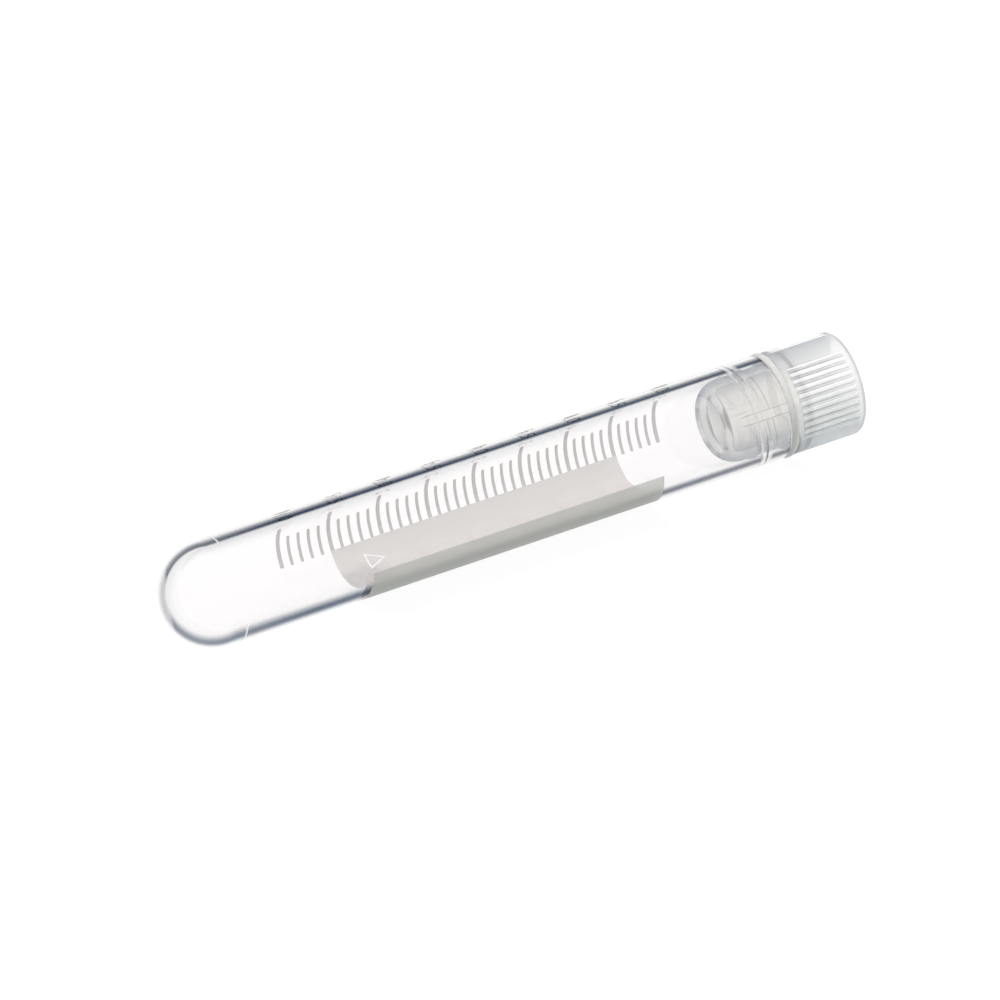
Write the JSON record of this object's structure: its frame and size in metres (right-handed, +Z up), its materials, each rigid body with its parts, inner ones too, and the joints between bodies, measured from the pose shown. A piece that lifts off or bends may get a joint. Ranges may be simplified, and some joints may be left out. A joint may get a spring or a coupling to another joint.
{
  "type": "cryovial",
  "caption": "Round-bottomed clear screw-cap vial for cold storage, with a gasket, a printed scale and a writing panel, lying on its side.",
  "frame": {"origin": "on the surface the vial lies on, below the middle of its length", "axes": "+X along the vial's axis towards its cap, +Z up, +Y to the left of someone looking towards the cap"},
  "size_m": [0.0886, 0.0128, 0.0128],
  "materials": {
    "clear_tube": "clear gloss polypropylene",
    "clear_cap": "natural translucent polypropylene",
    "silicone": "satin translucent silicone",
    "panel_ink": "matte ink",
    "scale_ink": "matte ink"
  },
  "bodies": {
    "tube": {"vial_tube": "clear_tube", "writing_panel": "panel_ink", "graduation_marks": "scale_ink"},
    "seal": {"seal_ring": "silicone"},
    "cap": {"screw_cap": "clear_cap"}
  },
  "joints": [
    {"name": "cap_lift", "type": "slide", "parent": "tube", "child": "seal", "axis": [1, 0, 0], "range_m": [0, 0.00875]},
    {"name": "cap_turn", "type": "hinge", "parent": "seal", "child": "cap", "pos_m": [0.03517, 0, 0.0064], "axis": [1, 0, 0], "range_deg": [0, 1260]}
  ],
  "couplings": [
    {"joint": "cap_turn", "follows": "cap_lift", "rad_per_m": 2513.3}
  ]
}
